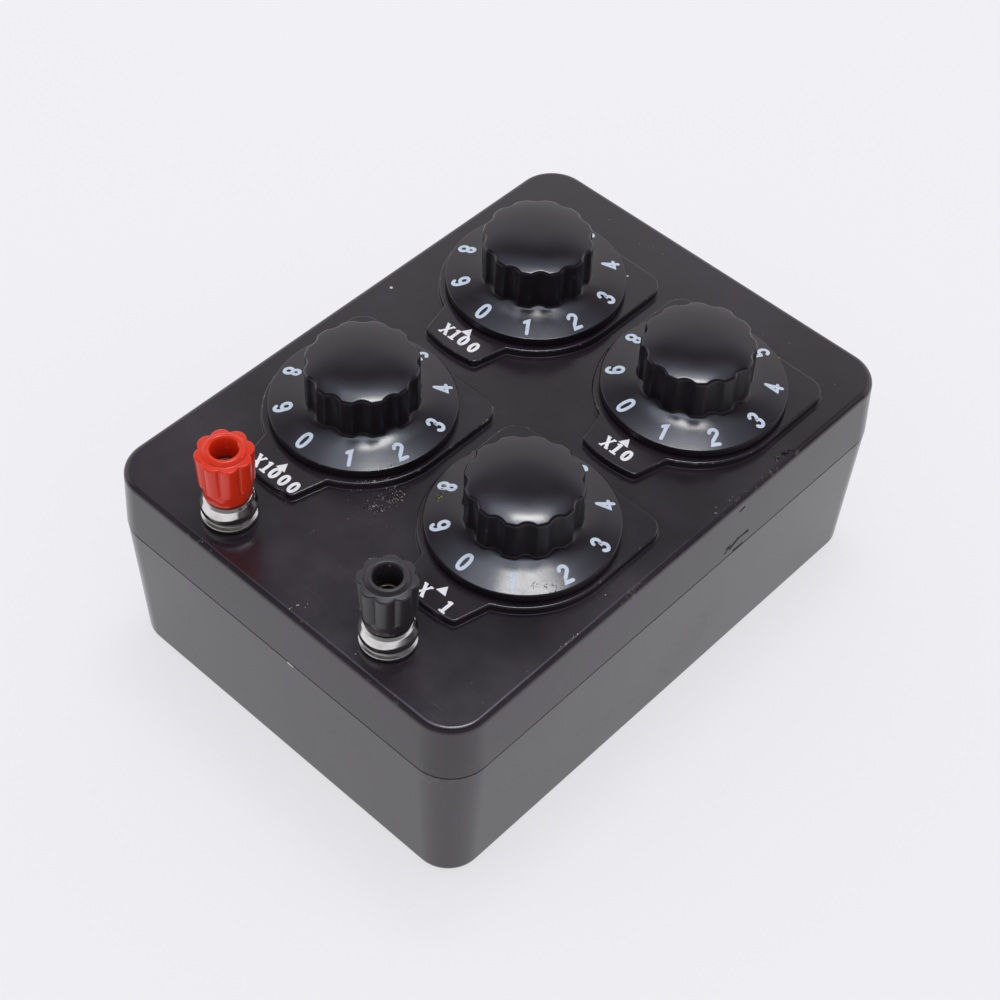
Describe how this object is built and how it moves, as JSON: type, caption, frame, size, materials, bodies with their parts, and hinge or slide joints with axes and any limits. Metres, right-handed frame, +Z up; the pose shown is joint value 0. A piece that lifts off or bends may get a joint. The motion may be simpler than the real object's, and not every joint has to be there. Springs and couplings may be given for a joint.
{
  "type": "decade resistance box",
  "caption": "Black moulded bench box with turning decade dials over rotary resistor switches and screw-down binding posts.",
  "frame": {"origin": "centre of the flat underside, on the surface that the box stands on", "axes": "+Z up; +Y to the back along the long side, so the binding posts are at the -Y end; +X to the right of a person who reads the dials"},
  "size_m": [0.11, 0.15, 0.0781],
  "materials": {
    "case_black": "moulded black plastic, semi-gloss",
    "knob_black": "polished black moulding with pale numerals",
    "cap_red": "moulded red plastic",
    "cap_black": "moulded black plastic, satin",
    "nickel": "bright nickel plate",
    "brass": "turned brass",
    "steel": "plain steel",
    "bronze": "spring bronze",
    "laminate": "brown paper laminate",
    "resistor_blue": "lacquered resistors with plated contacts",
    "wire_red": "red wire sleeve",
    "wire_black": "black wire sleeve",
    "wire_yellow": "yellow wire sleeve"
  },
  "bodies": {
    "case": {"top_cover": "case_black", "base_case": "case_black", "case_screw_1": "steel", "case_screw_2": "steel", "case_screw_3": "steel", "case_screw_4": "steel", "bush_x1000": "brass", "index_spring_x1000": "steel", "switch_deck_x1000": "laminate", "collector_ring_x1000": "brass", "resistor_chain_x1000": "resistor_blue", "bush_x100": "brass", "index_spring_x100": "steel", "switch_deck_x100": "laminate", "collector_ring_x100": "brass", "resistor_chain_x100": "resistor_blue", "bush_x10": "brass", "index_spring_x10": "steel", "switch_deck_x10": "laminate", "collector_ring_x10": "brass", "resistor_chain_x10": "resistor_blue", "bush_x1": "brass", "index_spring_x1": "steel", "switch_deck_x1": "laminate", "collector_ring_x1": "brass", "resistor_chain_x1": "resistor_blue", "red_post_stud": "nickel", "red_post_collar": "nickel", "red_post_nut": "brass", "red_solder_tag": "nickel", "black_post_stud": "nickel", "black_post_collar": "nickel", "black_post_nut": "brass", "black_solder_tag": "nickel", "wire_red_post": "wire_red", "wire_x1000_x100": "wire_yellow", "wire_x100_x10": "wire_yellow", "wire_x10_x1": "wire_yellow", "wire_black_post": "wire_black"},
    "dial_x1000": {"knob_x1000": "knob_black", "spindle_x1000": "steel", "index_wheel_x1000": "brass", "brush_x1000": "bronze"},
    "dial_x100": {"knob_x100": "knob_black", "spindle_x100": "steel", "index_wheel_x100": "brass", "brush_x100": "bronze"},
    "dial_x10": {"knob_x10": "knob_black", "spindle_x10": "steel", "index_wheel_x10": "brass", "brush_x10": "bronze"},
    "dial_x1": {"knob_x1": "knob_black", "spindle_x1": "steel", "index_wheel_x1": "brass", "brush_x1": "bronze"},
    "red_cap": {"red_post_cap": "cap_red", "red_cap_insert": "brass"},
    "black_cap": {"black_post_cap": "cap_black", "black_cap_insert": "brass"}
  },
  "joints": [
    {"name": "dial_x1000_turn", "type": "hinge", "parent": "case", "child": "dial_x1000", "pos_m": [-0.025, -0.0219, 0.0567], "axis": [0, 0, 1], "continuous": true},
    {"name": "dial_x100_turn", "type": "hinge", "parent": "case", "child": "dial_x100", "pos_m": [-0.025, 0.0365, 0.0567], "axis": [0, 0, 1], "continuous": true},
    {"name": "dial_x10_turn", "type": "hinge", "parent": "case", "child": "dial_x10", "pos_m": [0.025, 0.0365, 0.0567], "axis": [0, 0, 1], "continuous": true},
    {"name": "dial_x1_turn", "type": "hinge", "parent": "case", "child": "dial_x1", "pos_m": [0.025, -0.0219, 0.0567], "axis": [0, 0, 1], "continuous": true},
    {"name": "red_cap_turn", "type": "hinge", "parent": "case", "child": "red_cap", "pos_m": [-0.0244, -0.0637, 0.0567], "axis": [0, 0, 1], "range_deg": [0, 1350]},
    {"name": "black_cap_turn", "type": "hinge", "parent": "case", "child": "black_cap", "pos_m": [0.0252, -0.0637, 0.0567], "axis": [0, 0, 1], "range_deg": [0, 1350]}
  ]
}
